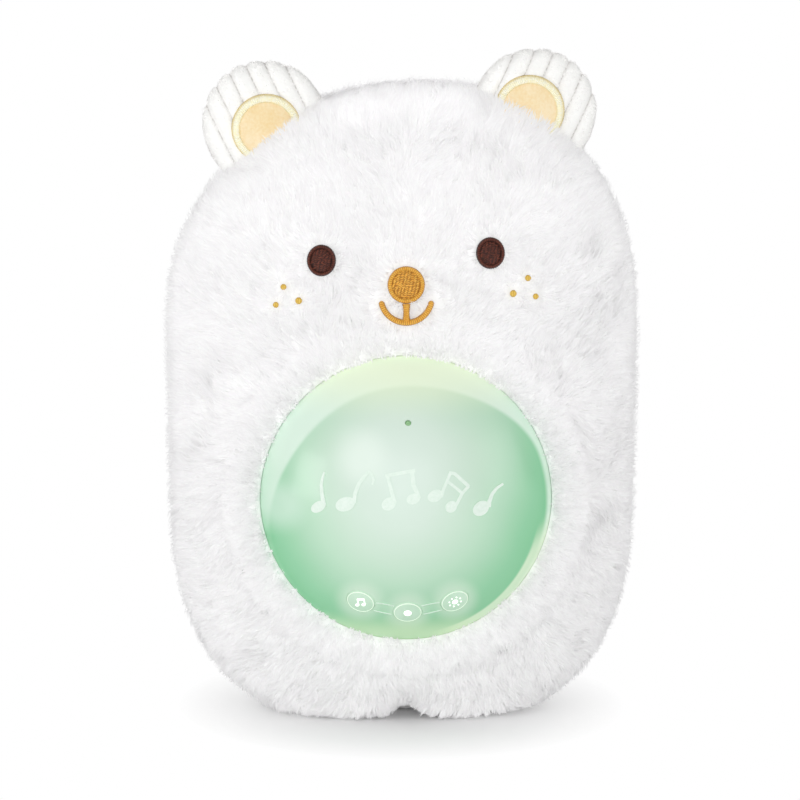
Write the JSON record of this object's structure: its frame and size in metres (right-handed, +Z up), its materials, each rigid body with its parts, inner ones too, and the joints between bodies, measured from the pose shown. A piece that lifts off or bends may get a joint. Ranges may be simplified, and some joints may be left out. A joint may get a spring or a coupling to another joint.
{
  "type": "musical plush toy",
  "caption": "Standing white plush bear with ribbed ears, an embroidered face and a glowing mint dome with push buttons in its belly.",
  "frame": {"origin": "middle of the flat base", "axes": "+Z up, -Y out of the face and the dome, +X to the bear's left"},
  "size_m": [0.19, 0.1385, 0.2689],
  "materials": {
    "fur": "long white pile",
    "stuffing": "loose polyester filling",
    "corduroy": "wide-rib corduroy",
    "lining": "short pile with a satin-stitch border",
    "brown_thread": "satin-stitch embroidery",
    "gold_thread": "satin-stitch embroidery",
    "lens": "translucent, polished",
    "button": "translucent, satin",
    "ring": "moulded",
    "housing": "moulded, fine grain",
    "diffuser": "translucent, matt",
    "board": "solder-resist green",
    "switch": "moulded",
    "steel": "nickel-plated",
    "led": "clear resin",
    "cell": "printed foil sleeve",
    "cone": "pressed paper",
    "strip": "hook-and-loop tape"
  },
  "bodies": {
    "toy": {"plush_cover": "fur", "loop_strip": "strip", "stuffing": "stuffing", "left_ear": "corduroy", "right_ear": "corduroy", "left_ear_lining": "lining", "right_ear_lining": "lining", "left_eye": "brown_thread", "right_eye": "brown_thread", "nose": "gold_thread", "mouth": "gold_thread", "dome_lens": "lens", "fabric_clamp_ring": "ring", "rear_housing": "housing", "light_diffuser": "diffuser", "led_board": "board", "main_board": "board", "microphone": "steel", "key_carrier": "housing", "speaker_basket": "steel", "speaker_cone": "cone", "speaker_magnet": "steel", "contact_plus": "steel", "contact_minus": "steel", "power_switch_body": "switch", "left_cheek_dot_1": "gold_thread", "left_cheek_dot_2": "gold_thread", "left_cheek_dot_3": "gold_thread", "right_cheek_dot_1": "gold_thread", "right_cheek_dot_2": "gold_thread", "right_cheek_dot_3": "gold_thread", "key_switch_1": "switch", "battery_cell_1": "cell", "key_switch_2": "switch", "battery_cell_2": "cell", "key_switch_3": "switch", "battery_cell_3": "cell", "led_1": "led", "housing_screw_1": "steel", "led_2": "led", "housing_screw_2": "steel", "led_3": "led", "housing_screw_3": "steel", "led_4": "led", "housing_screw_4": "steel"},
    "music_button": {"music_button": "button"},
    "centre_button": {"centre_button": "button"},
    "brightness_button": {"brightness_button": "button"},
    "access_flap": {"access_flap": "fur", "hook_strip": "strip"},
    "battery_door": {"battery_door": "housing", "battery_door_screw": "steel"},
    "power_switch": {"power_switch_slider": "ring"}
  },
  "joints": [
    {"name": "music_button_press", "type": "slide", "parent": "toy", "child": "music_button", "axis": [0.2793, 0.7799, 0.5602], "range_m": [0, 0.0009], "stiffness_N_per_m": 300, "springref_m": -0.0005},
    {"name": "centre_button_press", "type": "slide", "parent": "toy", "child": "centre_button", "axis": [0, 0.7799, 0.6259], "range_m": [0, 0.0009], "stiffness_N_per_m": 300, "springref_m": -0.0005},
    {"name": "brightness_button_press", "type": "slide", "parent": "toy", "child": "brightness_button", "axis": [-0.2793, 0.7799, 0.5602], "range_m": [0, 0.0009], "stiffness_N_per_m": 300, "springref_m": -0.0005},
    {"name": "access_flap_hinge", "type": "hinge", "parent": "toy", "child": "access_flap", "pos_m": [0, 0.054, 0.1066], "axis": [1, 0, 0], "range_deg": [0, 110]},
    {"name": "battery_door_lift", "type": "slide", "parent": "toy", "child": "battery_door", "axis": [0, 1, 0], "range_m": [0, 0.018]},
    {"name": "power_switch_slide", "type": "slide", "parent": "toy", "child": "power_switch", "axis": [0, 0, 1], "range_m": [0, 0.004]}
  ]
}
